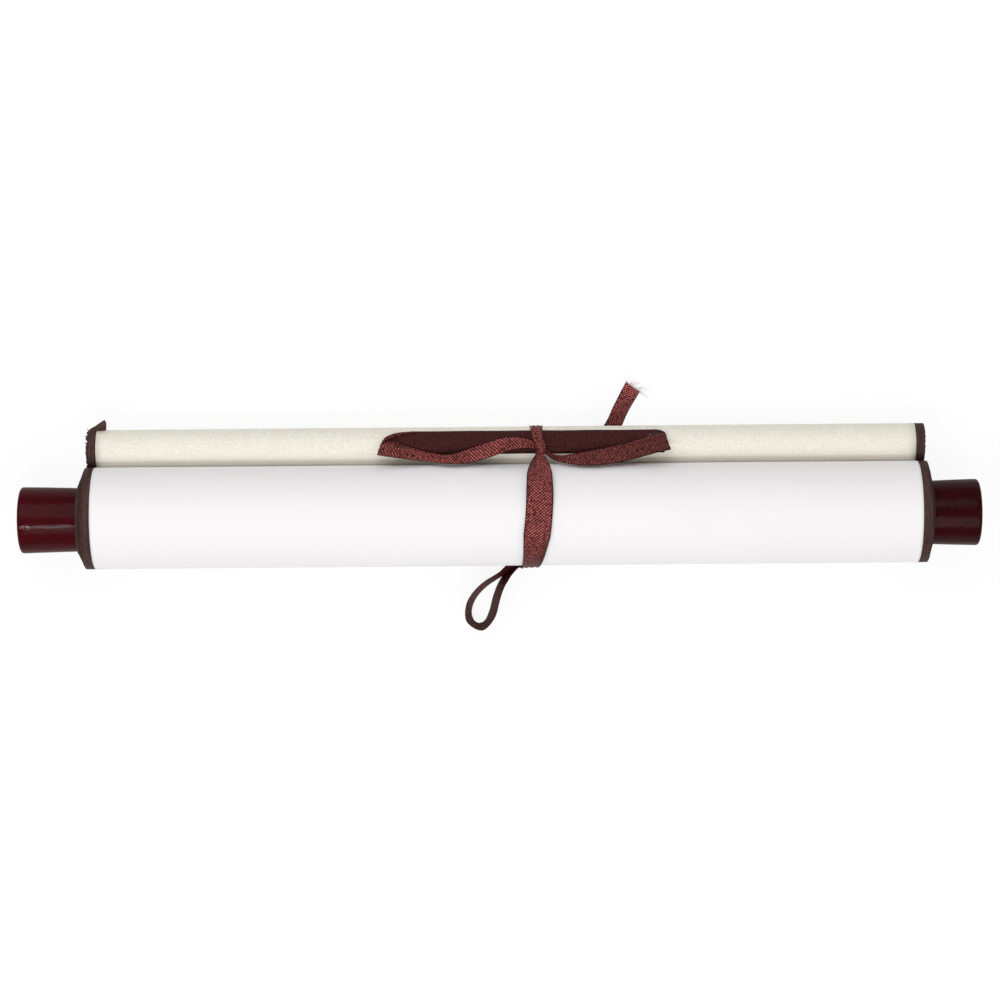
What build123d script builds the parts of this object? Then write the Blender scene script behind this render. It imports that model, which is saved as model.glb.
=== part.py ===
from build123d import *
from math import acos, asin, cos, degrees, radians, sin, sqrt, tan
import os

# A hanging scroll rolled up for storage and tied with a flat ribbon. Millimetres.
# +X runs along the roll, +Y towards the stave at its side, +Z up.
# The origin is on the small flat that the roll rests on, below the roll's axis.

# Roller and its two lacquered ends
rod_radius = 12.0
overall_length = 360.0
knob_inner_radius = 11.85
knob_outer_radius = 12.5
knob_rim_fillet = 1.1
knob_setback = 2.0  # how deep each knob starts inside the innermost turn
tenon_radius = 5.0
tenon_length = 12.0
tenon_clearance = 0.1
tenon_end_gap = 0.5

# Laminated sheet, wound face inwards
sheet_thickness = 0.4
turn_pitch = 0.5
half_turns = 28
mount_width = 315.2
mount_shift = 2.6  # the sheet sits this far towards +X on the roller
roller_drift = 0.7  # the loose turns leave the roller this far towards -Y
rest_width = 8.0
strip_width = 3.4
left_telescope = 3.3  # how far the innermost turn slides out past the outermost
right_telescope = 2.0

# Half-round stave and its silk wrap
stave_radius = 7.0
stave_height = 12.3  # height of the stave's flat back
brocade_thickness = 0.5
brocade_tail = 8.0  # silk below the stave, along the roll
stave_cap = 0.5  # edging folded over each end of the stave

# Tie ribbon
ribbon_width = 10.0
ribbon_thickness = 0.3
ribbon_groove_clearance = 0.3
ribbon_groove_depth = 0.33
wrap_plane_x = 13.2  # where the ribbon goes round the roll and the stave
ribbon_seat = 0.15  # how far the ribbon stands off the roll
loop_height = 9.4  # the loose loop stands on its edge
knot_radius = 2.4
bow_inner_y = 20.2
bow_corner_radius = 0.5
stave_edge_radius = 0.9

# Sizes that follow from those
roll_radius = rod_radius + sheet_thickness + half_turns * turn_pitch / 2
roll_height = sqrt(roll_radius**2 - (rest_width / 2) ** 2)
rest_press = roll_radius - roll_height
press_step = 0.7 * (turn_pitch - sheet_thickness)
wrap_radius = stave_radius + brocade_thickness
stave_reach = roll_radius - sheet_thickness + wrap_radius
stave_y = sqrt(stave_reach**2 - (roll_height - stave_height) ** 2)
contact_angle = degrees(asin((roll_height - stave_height) / stave_reach))
join_angle = contact_angle + degrees(brocade_tail / roll_radius)
mount_left = mount_shift - mount_width / 2
mount_right = mount_shift + mount_width / 2
rod_left = mount_left - left_telescope + knob_setback
rod_right = mount_right + right_telescope - knob_setback
far_radius = stave_reach + 3 * wrap_radius
core_radius = rod_radius - 1.0

# The ribbon's route, point by point: from the stave's back, round the stave and over the
# roll, out into the loose loop on the table, and back under the roll to the free end.
wrap_points = [
    (14.6, 24.0, 11.4),
    (14.6, 33.5, 11.4),
    (14.6, 33.9, 16.6),
    (14.4, 24.2, 22.4),
    (13.6, 7.4, 38.7),
    (13.0, -7.4, 38.7),
    (12.4, -18.6, 28.9),
    (12.0, -20.5, 14.2),
    (12.4, -13.4, 3.2),
]
loop_points = [
    (12.4, -13.4, 4.8),
    (8.0, -19.0, 4.8),
    (1.6, -24.4, 4.8),
    (-1.8, -32.0, 4.8),
    (-3.4, -39.0, 4.8),
    (-7.6, -43.4, 4.8),
    (-12.2, -40.6, 4.8),
    (-11.8, -33.4, 4.8),
    (-7.0, -27.0, 4.8),
    (0.4, -22.6, 4.8),
    (6.2, -18.2, 4.8),
    (10.6, -12.4, 4.8),
]
free_end_points = [
    (11.6, -13.6, 0.15),
    (16.4, -4.0, 0.15),
    (25.0, 6.6, 0.15),
    (33.0, 20.2, 0.15),
    (42.8, 33.6, 0.15),
    (52.1, 50.6, 0.15),
]
# The bow's two flattened loops, in the XZ plane: out along the stave and back
left_bow_points = [(14.4, 22.6), (-10.0, 21.4), (-45.0, 21.6), (-45.0, 20.4), (-12.0, 20.3), (14.4, 20.8)]
right_bow_points = [(14.4, 22.6), (36.0, 21.4), (63.6, 21.6), (63.6, 20.4), (38.0, 20.3), (14.4, 20.8)]

os.makedirs("parts", exist_ok=True)


def winding(inset):
    """Draws one face of the wound sheet from the outside in: the backing at inset 0."""
    centre = 0.0
    radius = roll_radius - inset
    press = rest_press
    drift = roller_drift / half_turns
    start = join_angle
    for half in range(half_turns + 1):
        if half % 2 == 0:
            flat = degrees(acos((radius - press) / radius)) if press > 0 else 0.0
            if flat > 0:
                CenterArc((centre, roll_height), radius, -start, start + flat - 90)
                low = roll_height - radius + press
                half_flat = radius * sin(radians(flat))
                Line((centre + half_flat, low), (centre - half_flat, low))
                CenterArc((centre, roll_height), radius, -90 - flat, flat - 90)
            else:
                CenterArc((centre, roll_height), radius, -start, start - 180)
            growth = turn_pitch / 2 + drift
            centre -= growth
            press = press - press_step if press > press_step else 0.0
            start = 0.0
        else:
            CenterArc((centre, roll_height), radius, 180, -180)
            growth = turn_pitch / 2 - drift
            centre += growth
        radius -= growth


def on_roll(angle, radius):
    """A point of the YZ plane at an angle round the roll's axis, from +Y towards +Z."""
    return (radius * cos(radians(angle)), roll_height + radius * sin(radians(angle)))


def end_profile(left, right, reach_left, reach_right):
    """Draws the half outline that trims wound pieces to slanted ends, in (x, radius)."""
    slope = (roll_radius - core_radius) / (roll_radius - rod_radius)
    Polyline(
        (left - reach_left * slope, core_radius),
        (left, roll_radius),
        (left, far_radius),
        (right, far_radius),
        (right, roll_radius),
        (right + reach_right * slope, core_radius),
        close=True,
    )


def route_radii(points):
    """The bend radius that each corner of a route leaves room for."""
    radii = []
    for before, here, after in zip(points, points[1:], points[2:]):
        arrive = Vector(*here) - Vector(*before)
        leave = Vector(*after) - Vector(*here)
        turn = radians(arrive.get_angle(leave))
        radii.append(0.45 * min(arrive.length, leave.length) / tan(turn / 2))
    return radii


roll_axis = Axis((0, 0, roll_height), (1, 0, 0))
rod_axis = Axis((0, -roller_drift, roll_height), (1, 0, 0))
roll_plane = Plane(origin=(0, 0, roll_height), x_dir=(1, 0, 0), z_dir=(0, -1, 0))
rod_plane = Plane(origin=(0, -roller_drift, roll_height), x_dir=(1, 0, 0), z_dir=(0, -1, 0))

# Cross-sections, drawn in (y, z)
with BuildSketch() as sheet_section:
    with BuildLine():
        winding(0)
        winding(sheet_thickness)
        Line(on_roll(-join_angle, roll_radius), on_roll(-join_angle, roll_radius - sheet_thickness))
        inner_centre = -roller_drift
        inner_radius = rod_radius + sheet_thickness
        Line((inner_centre - inner_radius, roll_height), (inner_centre - rod_radius, roll_height))
    make_face()

with BuildSketch() as stave_section:
    with BuildLine():
        CenterArc((stave_y, stave_height), stave_radius, 0, 180)
        Line((stave_y - stave_radius, stave_height), (stave_y + stave_radius, stave_height))
    make_face()

with BuildSketch() as brocade_section:
    add(stave_section.sketch)
    offset(amount=brocade_thickness)
    with BuildLine():
        CenterArc((0, roll_height), roll_radius, -join_angle, join_angle - contact_angle)
        Line(on_roll(-contact_angle, roll_radius), on_roll(-contact_angle, roll_radius - sheet_thickness))
        CenterArc((0, roll_height), roll_radius - sheet_thickness, -contact_angle, contact_angle - join_angle)
        Line(on_roll(-join_angle, roll_radius - sheet_thickness), on_roll(-join_angle, roll_radius))
    make_face()
    add(stave_section.sketch, mode=Mode.SUBTRACT)

left_limit = mount_left - 2 * left_telescope
right_limit = mount_right + 2 * right_telescope
inner_left = mount_left + strip_width
inner_right = mount_right - strip_width

# Groove that the tight ribbon presses into the roll where it crosses the resting flat
with BuildPart() as groove:
    with BuildSketch():
        with BuildLine():
            crossing = [(x, y) for x, y, z in free_end_points]
            FilletPolyline(*crossing, radius=route_radii(free_end_points))
        trace(line_width=ribbon_width + 2 * ribbon_groove_clearance)
    extrude(amount=ribbon_groove_depth)

# The wound sheet: plain paper between its two edge strips
with BuildPart() as rolled_sheet:
    with BuildSketch(Plane.YZ.offset(left_limit)):
        add(sheet_section.sketch)
    extrude(amount=right_limit - left_limit)
    with BuildSketch(roll_plane):
        with BuildLine():
            end_profile(inner_left, inner_right, left_telescope, right_telescope)
        make_face()
    revolve(axis=roll_axis, mode=Mode.INTERSECT)
    add(groove.part, mode=Mode.SUBTRACT)
rolled_sheet.part.label = "rolled_sheet"
export_step(rolled_sheet.part, "parts/rolled_sheet.step")

# The silk that covers the stave and starts down the roll
with BuildPart() as top_brocade:
    with BuildSketch(Plane.YZ.offset(left_limit)):
        add(brocade_section.sketch)
    extrude(amount=right_limit - left_limit)
    with BuildSketch(roll_plane):
        with BuildLine():
            end_profile(inner_left, inner_right, left_telescope, right_telescope)
        make_face()
    revolve(axis=roll_axis, mode=Mode.INTERSECT)
top_brocade.part.label = "top_brocade"
export_step(top_brocade.part, "parts/top_brocade.step")

# The narrow edging down each side, wound with the sheet and folded over the stave's end
edgings = [
    ("left_edge_strip", mount_left, inner_left, left_telescope, -left_telescope, mount_left),
    ("right_edge_strip", inner_right, mount_right, -right_telescope, right_telescope, mount_right - stave_cap),
]
for name, near, far, reach_near, reach_far, cap_x in edgings:
    with BuildPart() as edge_strip:
        with BuildSketch(Plane.YZ.offset(left_limit)):
            add(sheet_section.sketch)
            add(brocade_section.sketch)
        extrude(amount=right_limit - left_limit)
        with BuildSketch(roll_plane):
            with BuildLine():
                end_profile(near, far, reach_near, reach_far)
            make_face()
        revolve(axis=roll_axis, mode=Mode.INTERSECT)
        with BuildSketch(Plane.YZ.offset(cap_x)):
            add(stave_section.sketch)
        extrude(amount=stave_cap)
    edge_strip.part.label = name
    export_step(edge_strip.part, f"parts/{name}.step")

# The half-round stave, inside the silk
with BuildPart() as top_stave:
    with BuildSketch(Plane.YZ.offset(mount_left + stave_cap)):
        add(stave_section.sketch)
    extrude(amount=mount_width - 2 * stave_cap)
top_stave.part.label = "top_stave"
export_step(top_stave.part, "parts/top_stave.step")

# The roller, with a tenon at each end for its knobs
with BuildPart() as roller_rod:
    with BuildSketch(rod_plane):
        with BuildLine():
            Polyline(
                (rod_left - tenon_length, 0),
                (rod_left - tenon_length, tenon_radius),
                (rod_left, tenon_radius),
                (rod_left, rod_radius),
                (rod_right, rod_radius),
                (rod_right, tenon_radius),
                (rod_right + tenon_length, tenon_radius),
                (rod_right + tenon_length, 0),
                close=True,
            )
        make_face()
    revolve(axis=rod_axis)
roller_rod.part.label = "roller_rod"
export_step(roller_rod.part, "parts/roller_rod.step")

# The two turned and lacquered knobs, slightly wider at their outer ends
for name, root, side in (("left_knob", rod_left, -1), ("right_knob", rod_right, 1)):
    length = overall_length / 2 - side * root
    with BuildPart() as knob:
        with BuildSketch(rod_plane):
            with BuildLine():
                Polyline(
                    (root, 0),
                    (root, knob_inner_radius),
                    (root + side * length, knob_outer_radius),
                    (root + side * length, 0),
                    close=True,
                )
            make_face()
            fillet(vertices().sort_by(lambda v: v.Y)[-1], radius=knob_rim_fillet)
        revolve(axis=rod_axis)
        with BuildSketch(Plane.YZ.offset(root)):
            with Locations((-roller_drift, roll_height)):
                Circle(tenon_radius + tenon_clearance)
        extrude(amount=side * (tenon_length + tenon_end_gap), mode=Mode.SUBTRACT)
    knob.part.label = name
    export_step(knob.part, f"parts/{name}.step")

# The tie ribbon: one flat band, its stretches drawn in the planes they lie in
wrap_radii = route_radii(wrap_points)
wrap_radii[0] = stave_edge_radius
with BuildPart() as tie_ribbon:
    with BuildSketch():
        with BuildLine() as loop_line:
            FilletPolyline(*[(x, y) for x, y, z in loop_points], radius=route_radii(loop_points))
        trace(line_width=ribbon_thickness)
    extrude(amount=loop_height)
    with BuildSketch(Plane.YZ.offset(left_limit)):
        with Locations((0, roll_height)):
            Circle(roll_radius + ribbon_seat)
    extrude(amount=right_limit - left_limit, mode=Mode.SUBTRACT)
    with BuildSketch(Plane.YZ.offset(wrap_plane_x - ribbon_width / 2)):
        with BuildLine() as wrap_line:
            FilletPolyline(*[(y, z) for x, y, z in wrap_points], radius=wrap_radii)
        trace(line_width=ribbon_thickness)
    extrude(amount=ribbon_width)
    with BuildSketch():
        with BuildLine() as free_end_line:
            FilletPolyline(*[(x, y) for x, y, z in free_end_points], radius=route_radii(free_end_points))
        trace(line_width=ribbon_width)
    extrude(amount=ribbon_thickness)
    for points in (left_bow_points, right_bow_points):
        with BuildSketch(Plane.XZ.offset(-bow_inner_y - ribbon_width)):
            with BuildLine() as bow_line:
                FilletPolyline(*points, radius=bow_corner_radius)
            trace(line_width=ribbon_thickness)
        extrude(amount=ribbon_width)
    with Locations(wrap_points[3]):
        Sphere(knot_radius)
tie_ribbon.part.label = "tie_ribbon"
export_step(tie_ribbon.part, "parts/tie_ribbon.step")

for name, points, line in (
    ("wrap", wrap_points, wrap_line),
    ("loop", loop_points, loop_line),
    ("free end", free_end_points, free_end_line),
):
    print(name, "radii", [round(r, 1) for r in route_radii(points)], "length", round(line.wires()[0].length, 1))
print("ribbon solids", len(tie_ribbon.part.solids()), "volume", round(tie_ribbon.part.volume, 1))
print("roll radius", roll_radius, "roll height", round(roll_height, 3), "stave y", round(stave_y, 3))
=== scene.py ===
import math

import bmesh
import bpy
import numpy as np
from bpy.props import FloatProperty, FloatVectorProperty, IntProperty, PointerProperty
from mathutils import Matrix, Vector, noise


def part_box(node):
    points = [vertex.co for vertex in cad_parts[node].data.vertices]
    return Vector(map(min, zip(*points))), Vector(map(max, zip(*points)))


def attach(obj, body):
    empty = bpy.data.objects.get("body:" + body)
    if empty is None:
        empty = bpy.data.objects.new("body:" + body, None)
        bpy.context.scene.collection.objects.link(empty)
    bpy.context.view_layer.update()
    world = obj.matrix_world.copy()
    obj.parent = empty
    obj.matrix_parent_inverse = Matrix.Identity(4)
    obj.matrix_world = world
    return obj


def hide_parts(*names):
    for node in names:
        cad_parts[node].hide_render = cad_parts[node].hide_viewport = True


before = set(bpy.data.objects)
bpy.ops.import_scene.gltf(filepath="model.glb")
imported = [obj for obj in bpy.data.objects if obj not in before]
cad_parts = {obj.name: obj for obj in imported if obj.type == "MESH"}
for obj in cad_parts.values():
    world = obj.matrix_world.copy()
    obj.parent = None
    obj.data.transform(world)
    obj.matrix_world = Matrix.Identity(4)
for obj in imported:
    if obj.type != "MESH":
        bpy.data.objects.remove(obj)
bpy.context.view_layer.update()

bl_info = {
    "name": "Rolled Scroll",
    "version": (1, 0, 0),
    "blender": (4, 5, 0),
    "location": "View3D > Sidebar > Scroll",
    "description": "Builds a rolled hanging scroll with its stave, knobs and tie ribbon",
    "category": "Add Mesh",
}

MM = 0.001
FINISH = "_finish"
RIBBON_WIDTH = 10 * MM
# The arc of sheet that runs from the stave down onto the roll, before its first turn.
START_ARC = 0.41

# The ribbon's route: round the stave, over the roll, through the loose loop and back under
# the roll to the free end. Each row is x, y, z and the ribbon's shown width, in millimetres,
# and the direction that its width lies in.
RIBBON_ROUTE = [
    ((14.6, 24.0, 11.4), 6.0, (1, 0, 0)),
    ((14.5, 30.0, 11.3), 5.6, (1, 0, 0)),
    ((14.1, 33.0, 11.1), 4.9, (1, 0, 0)),
    ((14.0, 33.45, 12.6), 4.8, (1, 0, 0)),
    ((14.0, 32.9, 15.2), 4.5, (1, 0, 0)),
    ((14.2, 31.4, 17.9), 4.4, (1, 0, 0)),
    ((14.6, 28.9, 19.9), 3.9, (1, 0, 0)),
    ((15.1, 26.6, 21.4), 3.6, (1, 0, 0)),
    ((15.4, 24.4, 22.8), 2.7, (1, 0, 0)),
    ((15.3, 21.9, 25.0), 3.6, (1, 0, 0)),
    ((15.1, 18.8, 28.4), 7.2, (1, 0, 0)),
    ((15.0, 15.6, 32.0), 9.4, (1, 0, 0)),
    ((15.0, 8.6, 38.4), 10.0, (1, 0, 0)),
    ((14.7, 0.4, 39.3), 10.0, (1, 0, 0)),
    ((13.8, -8.0, 38.7), 10.0, (1, -0.02, 0)),
    ((12.2, -18.6, 29.6), 7.2, (1, -0.03, 0)),
    ((10.6, -20.7, 14.8), 5.8, (1, 0.05, 0)),
    ((10.8, -17.4, 6.6), 7.2, (0.8, 0.25, 0.5)),
    ((7.0, -19.9, 5.0), 9.0, (0.2, 0.1, 1)),
    ((1.4, -24.6, 4.8), 9.4, (0.24, -0.20, 1)),
    ((-1.5, -31.6, 4.8), 9.6, (0.30, -0.08, 1)),
    ((-3.0, -38.8, 4.8), 9.6, (0.30, -0.1, 1)),
    ((-7.0, -43.8, 4.8), 9.6, (0.05, -0.3, 1)),
    ((-12.5, -40.6, 4.8), 9.6, (-0.26, -0.1, 1)),
    ((-12.0, -33.4, 4.8), 9.6, (-0.26, 0.08, 1)),
    ((-6.8, -27.0, 4.8), 9.4, (-0.20, 0.16, 1)),
    ((0.4, -22.8, 4.8), 9.4, (-0.10, 0.2, 1)),
    ((6.0, -18.6, 4.7), 9.0, (-0.3, 0.4, 0.9)),
    ((10.4, -13.0, 2.0), 9.0, (-0.75, 0.5, 0.35)),
    ((15.4, -5.0, 0.35), 10.0, (-0.9, 0.5, 0)),
    ((24.6, 6.6, 0.35), 10.0, (-0.85, 0.6, 0)),
    ((33.0, 20.2, 0.9), 9.8, (-0.85, 0.52, 0.1)),
    ((43.2, 32.0, 3.6), 9.0, (-0.56, 0.36, 0.72)),
    ((46.6, 40.6, 4.0), 8.8, (-0.58, 0.38, 0.72)),
    ((51.4, 48.4, 3.6), 9.0, (-0.60, 0.42, 0.68)),
]
# How light each stretch of the ribbon is painted, from its start to its end: painted shade where it runs
# under the stave, down past the roll's far edge, round the loose loop and back under the roll; lighter
# towards the cut end.
RIBBON_PAINTED_LIGHT = [
    (0.00, 0.35),
    (0.09, 0.45),
    (0.12, 0.95),
    (0.40, 1.00),
    (0.46, 0.30),
    (0.66, 0.30),
    (0.72, 0.40),
    (0.90, 0.45),
    (0.95, 1.05),
    (0.99, 1.15),
    (1.00, 2.60),
]
# The bow's front strands, from the fold at its end to the knot. Each row is x, y, the width
# that shows, how high it lies over what is under it, and how far its width leans along x.
LEFT_BOW = [
    (-38.0, 25.3, 5.2, 0.35, 0.24),
    (-42.0, 25.5, 5.4, 0.35, 0.26),
    (-45.7, 25.5, 5.6, 0.70, 0.26),
    (-42.0, 24.9, 5.6, 1.15, 0.24),
    (-37.0, 23.9, 5.3, 1.10, 0.12),
    (-32.1, 22.8, 4.6, 0.90, 0),
    (-26.1, 21.6, 3.5, 0.90, 0),
    (-20.5, 20.7, 3.4, 0.90, 0),
    (-16.0, 20.9, 4.2, 0.90, 0),
    (-11.1, 22.1, 5.6, 0.90, 0),
    (-7.3, 23.2, 6.0, 0.90, 0),
    (-1.7, 25.0, 6.1, 0.90, 0),
    (2.1, 26.2, 5.6, 0.90, 0),
    (5.8, 26.8, 4.8, 0.90, 0),
    (11.5, 26.5, 3.4, 0.90, 0),
    (15.2, 25.2, 2.6, 0.80, 0),
]
RIGHT_BOW = [
    (56.0, 26.9, 6.2, 0.35, -0.18),
    (60.0, 27.2, 6.4, 0.35, -0.20),
    (64.4, 27.1, 6.7, 0.70, -0.20),
    (60.2, 26.4, 6.8, 1.15, -0.18),
    (55.0, 25.0, 6.9, 1.15, -0.10),
    (48.0, 23.0, 6.9, 1.00, 0),
    (42.0, 21.8, 6.6, 0.90, 0),
    (36.6, 21.0, 5.9, 0.90, 0),
    (31.5, 20.6, 4.9, 0.90, 0),
    (26.5, 20.5, 3.7, 0.90, 0),
    (22.7, 20.7, 2.5, 0.90, 0),
    (19.9, 21.6, 2.0, 0.90, 0),
    (17.6, 23.4, 2.0, 0.90, 0),
    (15.8, 25.0, 2.0, 0.80, 0),
]
# The strip of the left loop that shows where it turns over into the strand behind.
LEFT_TURN = [
    (-31.0, 31.2, 0.4, 0.45, 0),
    (-36.5, 30.8, 1.0, 0.60, 0),
    (-40.6, 29.9, 1.5, 0.80, 0.1),
    (-43.4, 28.1, 2.0, 0.90, 0.3),
]


def length(label, about, default):
    return FloatProperty(name=label, description=about, default=default, unit="LENGTH")


def tint(label, about, default):
    return FloatVectorProperty(name=label, description=about, default=default, subtype="COLOR", size=3)


class ScrollSizes(bpy.types.PropertyGroup):
    roll_radius: length("Roll radius", "Outside of the wound sheet", 0.0194)
    rod_radius: length("Roller radius", "Inside of the wound sheet", 0.0120)
    rest_width: length("Rest width", "Flat that the roll lies on", 0.008)
    sheet_thickness: length("Sheet", "Laminated sheet's thickness", 0.0004)
    turn_pitch: length("Pitch", "Radius gained by each turn", 0.0005)
    half_turns: IntProperty(name="Half turns", description="Half turns of sheet on the roller", default=28)
    drift: length("Drift", "How far the roller lies off the roll's axis", 0.0007)
    strip_width: length("Edging", "Width of the edge strips", 0.0034)
    left_slide: length("Left slide", "How far the inner turns slide out", 0.0033)
    right_slide: length("Right slide", "How far the inner turns slide out", 0.0020)
    stave_radius: length("Stave radius", "Half-round wooden stave", 0.0070)
    stave_height: length("Stave height", "Height of the stave's flat back", 0.0123)
    silk_thickness: length("Silk", "Thickness of the silk round the stave", 0.0005)
    knob_rim: length("Knob rim", "Rounding of the knob's outer edge", 0.0012)
    ribbon_thickness: length("Ribbon thickness", "Thickness of the woven ribbon", 0.0003)


class ScrollColours(bpy.types.PropertyGroup):
    paper: tint("Paper", "Backing paper", (0.90, 0.885, 0.885))
    silk: tint("Silk", "Brocade round the stave", (0.90, 0.875, 0.815))
    edging: tint("Edging", "Brown edge strips", (0.052, 0.027, 0.023))
    lacquer: tint("Lacquer", "Knob lacquer", (0.052, 0.0022, 0.0045))
    ribbon: tint("Ribbon", "Tie ribbon", (0.130, 0.016, 0.016))
    ribbon_light: tint("Ribbon weft", "Lighter threads", (0.66, 0.160, 0.145))
    thread: tint("Thread", "Frayed ends", (0.80, 0.74, 0.73))
    wood: tint("Wood", "Hidden wood", (0.50, 0.34, 0.19))


def sizes():
    return bpy.context.scene.scroll_sizes


def colours():
    return bpy.context.scene.scroll_colours


# ---------------------------------------------------------------- materials


class Nodes:
    """A small helper that adds and joins the nodes of one material."""

    def __init__(self, name):
        self.material = bpy.data.materials.new(name + FINISH)
        self.material.use_nodes = True
        self.tree = self.material.node_tree
        self.shader = self.tree.nodes["Principled BSDF"]

    def add(self, kind, values=None, **settings):
        node = self.tree.nodes.new(kind)
        for key, value in settings.items():
            setattr(node, key, value)
        for key, value in (values or {}).items():
            node.inputs[key].default_value = value
        return node

    def link(self, source, node, socket):
        """Joins a (node, output) pair to one input of a node."""
        self.tree.links.new(source[0].outputs[source[1]], node.inputs[socket])

    def math(self, operation, first, second=None, clamp=False):
        """A Math node on two things, each a number or a (node, output) pair."""
        node = self.add("ShaderNodeMath", operation=operation, use_clamp=clamp)
        for index, value in enumerate((first, second)):
            if isinstance(value, tuple):
                self.link(value, node, index)
            elif value is not None:
                node.inputs[index].default_value = value
        return (node, 0)

    def mix(self, factor, dark, light):
        """A colour between two: each a colour or a (node, output) pair."""
        node = self.add("ShaderNodeMix", data_type="RGBA")
        self.link(factor, node, 0)
        for index, value in ((6, dark), (7, light)):
            if len(value) == 2:
                self.link(value, node, index)
            else:
                node.inputs[index].default_value = (*value, 1)
        return (node, 2)

    def noise(self, vector, scale, detail=3.0, roughness=0.5):
        node = self.add("ShaderNodeTexNoise", {"Scale": scale, "Detail": detail, "Roughness": roughness})
        self.link(vector, node, "Vector")
        return (node, "Fac")

    def wave(self, vector, scale, distortion, detail, detail_scale=1.0, **settings):
        values = {"Scale": scale, "Distortion": distortion, "Detail": detail, "Detail Scale": detail_scale}
        node = self.add("ShaderNodeTexWave", values, **settings)
        self.link(vector, node, "Vector")
        return (node, "Fac")

    def split(self, output):
        """The three parts of a texture coordinate, as a node with X, Y and Z outputs."""
        node = self.add("ShaderNodeSeparateXYZ")
        self.link((self.add("ShaderNodeTexCoord"), output), node, "Vector")
        return node

    def place(self, stretch=(1, 1, 1), uv=False):
        """Object coordinates, or the piece's own UV map, stretched along each axis."""
        mapping = self.add("ShaderNodeMapping", {"Scale": stretch})
        self.link((self.add("ShaderNodeTexCoord"), "UV" if uv else "Object"), mapping, "Vector")
        return (mapping, "Vector")

    def colour(self, source):
        self.link(source, self.shader, "Base Color")

    def rough(self, source):
        self.link(source, self.shader, "Roughness")

    def bump(self, source, distance, strength, sockets=("Normal",)):
        node = self.add("ShaderNodeBump", {"Distance": distance, "Strength": strength})
        self.link(source, node, "Height")
        for socket in sockets:
            self.link((node, "Normal"), self.shader, socket)

    def finish(self, **values):
        for key, value in values.items():
            self.shader.inputs[key.replace("_", " ")].default_value = value
        return self.material


def shade(colour, factor):
    return tuple(channel * factor for channel in colour)


def paper_material():
    n = Nodes("paper_backing")
    base = tuple(colours().paper)
    fibres = n.noise(n.place((60, 900, 900)), 6.0, 5.0, 0.6)
    clouds = n.noise(n.place((14, 40, 40)), 1.5, 3.0)
    tone = n.math("ADD", n.math("MULTIPLY", fibres, 0.25), n.math("MULTIPLY", clouds, 0.75))
    n.colour(n.mix(tone, shade(base, 0.975), shade(base, 1.02)))
    grain = n.noise(n.place((700, 1100, 1100)), 1.0, 3.0, 0.65)
    lines = n.noise(n.place((3, 900, 900)), 1.0, 1.0)
    n.bump(n.math("ADD", grain, n.math("MULTIPLY", lines, 0.6)), 0.00006, 0.35)
    n.rough(n.math("ADD", n.math("MULTIPLY", fibres, 0.12), 0.74))
    return n.finish(Specular_IOR_Level=0.3)


def silk_material():
    """Cream damask: fine warp lines, with faint satin figures in the same tone."""
    n = Nodes("silk_brocade")
    base = tuple(colours().silk)
    cell = n.add("ShaderNodeTexVoronoi", {"Scale": 1.0, "Randomness": 0.85}, feature="SMOOTH_F1")
    n.link(n.place((230, 260, 260)), cell, "Vector")
    curls = n.wave(n.place((300, 300, 300)), 0.9, 9.0, 2.0, 2.2, wave_type="RINGS")
    swirl = n.math("ADD", curls, n.math("MULTIPLY", (cell, "Distance"), -0.55))
    figure = n.math("GREATER_THAN", swirl, 0.34)
    warp = n.wave(n.place(), 700.0, 0.6, 1.0, bands_direction="X")
    slubs = n.noise(n.place((1500, 160, 160)), 1.0, 2.0)
    speck = n.noise(n.place((1400, 1400, 1400)), 1.0, 2.0, 0.7)
    tone = n.math("ADD", n.math("MULTIPLY", figure, 0.30), n.math("MULTIPLY", slubs, 0.35))
    tone = n.math("ADD", tone, n.math("MULTIPLY", n.math("SUBTRACT", speck, 0.5), 1.6), clamp=True)
    dark = tuple(c * f for c, f in zip(base, (0.92, 0.90, 0.80)))
    pale = tuple(min(1, c * f) for c, f in zip(base, (1.06, 1.07, 1.10)))
    n.colour(n.mix(tone, dark, pale))
    height = n.math("ADD", n.math("MULTIPLY", warp, 0.6), n.math("MULTIPLY", figure, 0.8))
    n.bump(height, 0.00005, 0.5)
    n.rough(n.math("SUBTRACT", 0.62, n.math("MULTIPLY", figure, 0.16)))
    return n.finish(Sheen_Weight=0.12, Sheen_Roughness=0.4)


def edging_material():
    n = Nodes("brown_edging")
    base = tuple(colours().edging)
    across = n.wave(n.place(), 900.0, 1.2, 1.0, bands_direction="X")
    slubs = n.noise(n.place((2600, 330, 330)), 1.0, 3.0)
    dust = n.noise(n.place((420, 420, 420)), 1.0, 5.0, 0.7)
    streaks = n.noise(n.place((1900, 60, 60)), 1.0, 2.0)
    tone = n.math("ADD", n.math("MULTIPLY", slubs, 0.9), n.math("MULTIPLY", dust, 0.8))
    tone = n.math("ADD", tone, n.math("MULTIPLY", streaks, 1.2))
    tone = n.math("SUBTRACT", tone, 1.0, clamp=True)
    n.colour(n.mix(tone, shade(base, 0.50), shade(base, 2.3)))
    n.bump(n.math("ADD", across, slubs), 0.00006, 0.6)
    return n.finish(Roughness=0.62, Specular_IOR_Level=0.1)


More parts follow.
